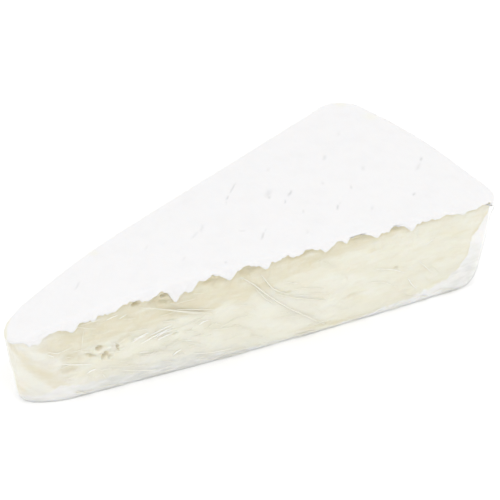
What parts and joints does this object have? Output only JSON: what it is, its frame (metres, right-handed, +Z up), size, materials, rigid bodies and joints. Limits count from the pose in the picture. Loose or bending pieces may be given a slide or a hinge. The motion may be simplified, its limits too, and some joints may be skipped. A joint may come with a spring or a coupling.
{
  "type": "wrapped brie wedge",
  "caption": "Long narrow wedge of soft white-rinded cheese wrapped tight in clear film, lying flat to be served, cut or set out as food.",
  "frame": {"origin": "under the middle of the box, on the flat underside", "axes": "+X from the blunt nose to the wheel's rim, +Y from the front cut face to the back one, +Z up through the rind"},
  "size_m": [0.1672, 0.0814, 0.0349],
  "materials": {
    "wrapped_cheese": "soft cream-white cheese with a matte white rind, under thin glossy clear film"
  },
  "bodies": {
    "root": {"brie_wedge": "wrapped_cheese"}
  },
  "joints": []
}
